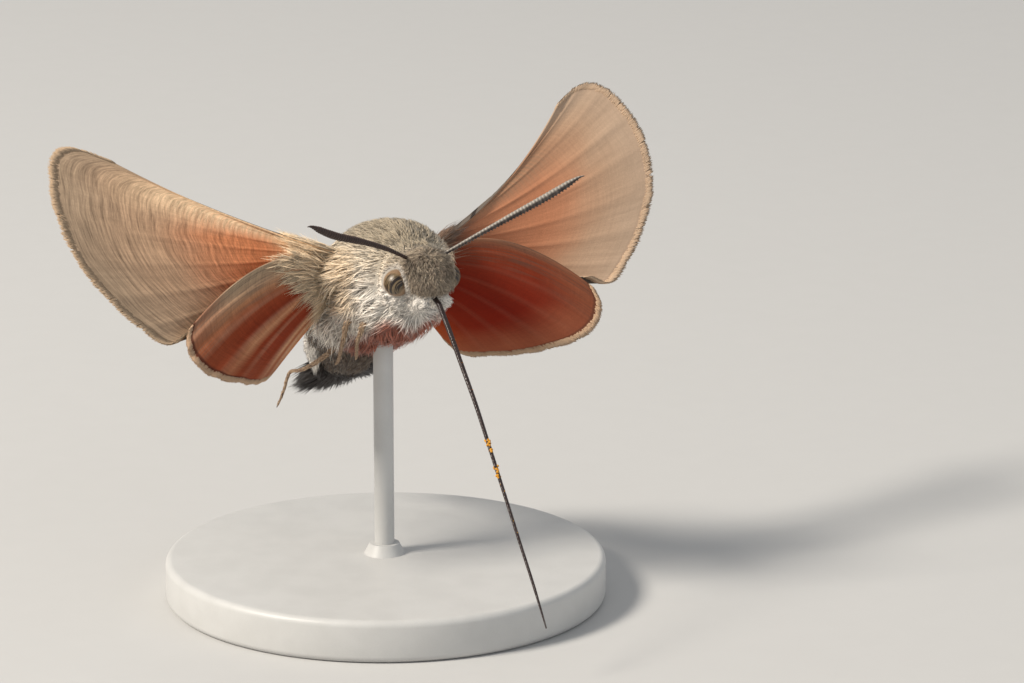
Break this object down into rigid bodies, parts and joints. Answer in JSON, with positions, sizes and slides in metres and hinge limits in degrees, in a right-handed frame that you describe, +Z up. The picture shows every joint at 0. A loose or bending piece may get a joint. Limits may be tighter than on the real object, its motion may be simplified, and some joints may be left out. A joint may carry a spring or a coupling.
{
  "type": "hawk moth model on a stand",
  "caption": "Life-size hovering day-flying hawk moth with spread wings, long tongue and tail fan, held by a rod on a round flat base",
  "frame": {"origin": "middle of the stand's flat underside", "axes": "+Z up; the moth faces -Y, and its left side is +X"},
  "size_m": [0.0464, 0.0379, 0.0336],
  "materials": {
    "fur_grey": "dense grey-brown body fur with pale streaks",
    "fur_white": "white scales of the palps and breast",
    "fur_dark": "dark brown abdomen fur and tail scales",
    "wing_tan": "matt scaled wing, tan to orange-brown",
    "wing_rust": "matt scaled wing, rust orange with a pale fringe",
    "eye": "glossy olive-brown compound eye",
    "horn_dark": "satin dark brown horn",
    "leg": "tan-brown scaled legs",
    "stand": "plain satin off-white resin"
  },
  "bodies": {
    "root": {"thorax": "fur_grey", "head": "fur_grey", "eye_left": "eye", "eye_right": "eye", "palp_left": "fur_white", "palp_right": "fur_white", "antenna_left": "horn_dark", "antenna_right": "horn_dark", "proboscis_1": "horn_dark", "proboscis_2": "horn_dark", "proboscis_3": "horn_dark", "abdomen": "fur_dark", "tail_fan": "fur_dark", "forewing_left": "wing_tan", "forewing_right": "wing_tan", "hindwing_left": "wing_rust", "hindwing_right": "wing_rust", "leg_front_left": "leg", "leg_front_right": "leg", "leg_mid_left": "leg", "leg_mid_right": "leg", "leg_hind_left": "leg", "leg_hind_right": "leg", "stand_base": "stand", "stand_rod": "stand"}
  },
  "joints": []
}
